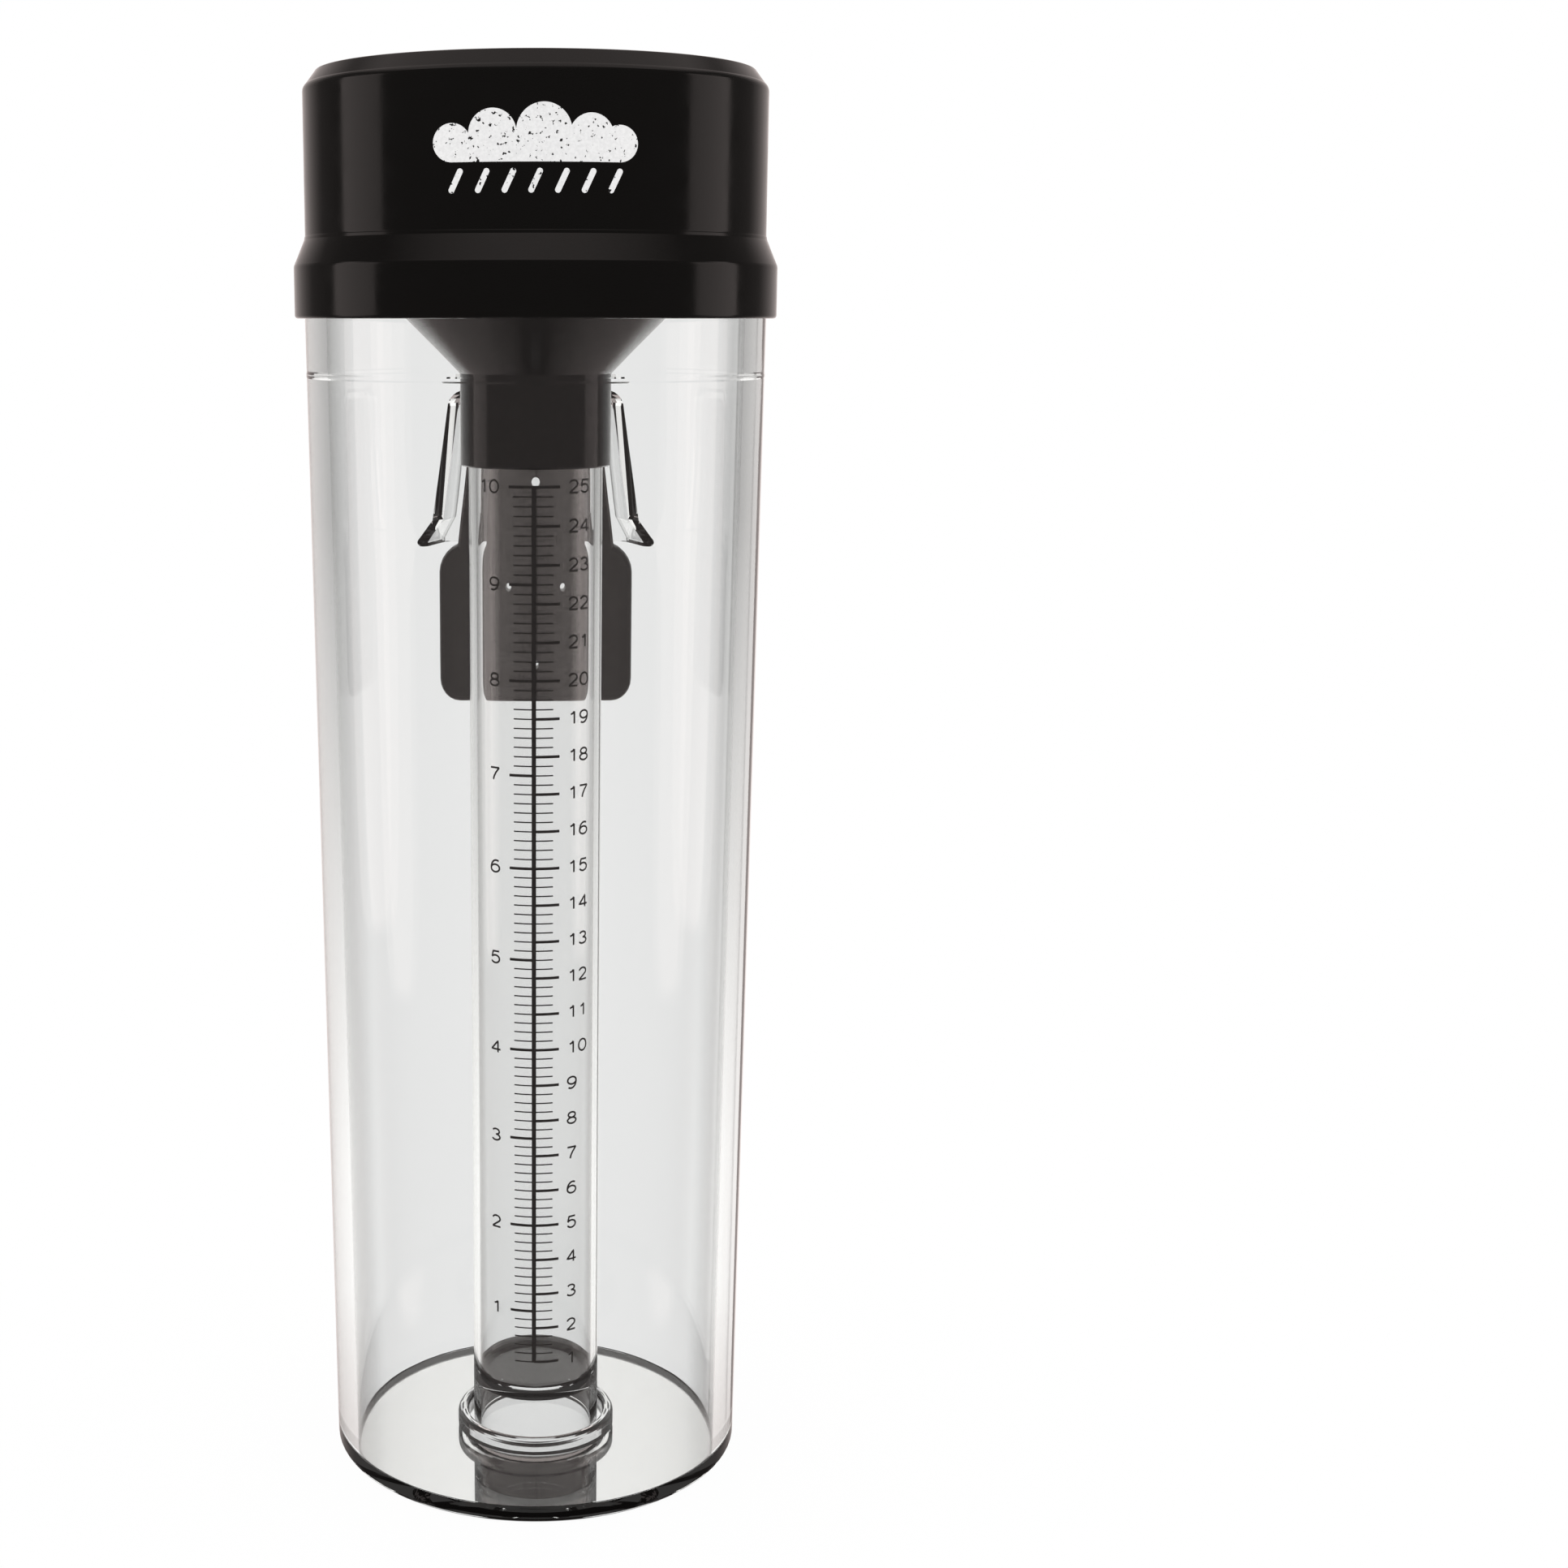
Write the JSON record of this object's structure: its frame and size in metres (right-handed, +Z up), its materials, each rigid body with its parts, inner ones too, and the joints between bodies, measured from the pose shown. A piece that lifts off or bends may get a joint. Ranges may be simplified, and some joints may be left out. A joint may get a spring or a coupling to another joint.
{
  "type": "manual rain gauge",
  "caption": "Manual rain gauge: a clear outer tube with a hanger pocket, a graduated measuring tube inside it, a black funnel lid and a screw-on wall bracket.",
  "frame": {"origin": "centre of the outer tube's flat underside, on the tube's axis", "axes": "+Z up along the tubes' common axis, +Y out of the back towards the wall bracket, -Y the side of the scale and emblem"},
  "size_m": [0.1242, 0.1286, 0.3715],
  "materials": {
    "clear_plastic": "clear, polished",
    "black_plastic": "glossy black",
    "bracket_plastic": "satin charcoal black",
    "black_ink": "screen-printed ink",
    "white_ink": "screen-printed ink"
  },
  "bodies": {
    "gauge_body": {"outer_tube": "clear_plastic"},
    "measuring_tube": {"inner_tube": "clear_plastic", "printed_scale": "black_ink"},
    "lid": {"funnel_lid": "black_plastic", "lid_emblem": "white_ink"},
    "bracket": {"mounting_bracket": "bracket_plastic"}
  },
  "joints": [
    {"name": "tube_lift", "type": "slide", "parent": "gauge_body", "child": "measuring_tube", "axis": [0, 0, 1], "range_m": [0, 0.33]},
    {"name": "lid_lift", "type": "slide", "parent": "measuring_tube", "child": "lid", "axis": [0, 0, 1], "range_m": [0, 0.08]},
    {"name": "bracket_slide", "type": "slide", "parent": "gauge_body", "child": "bracket", "axis": [0, 0, -1], "range_m": [0, 0.05]}
  ]
}
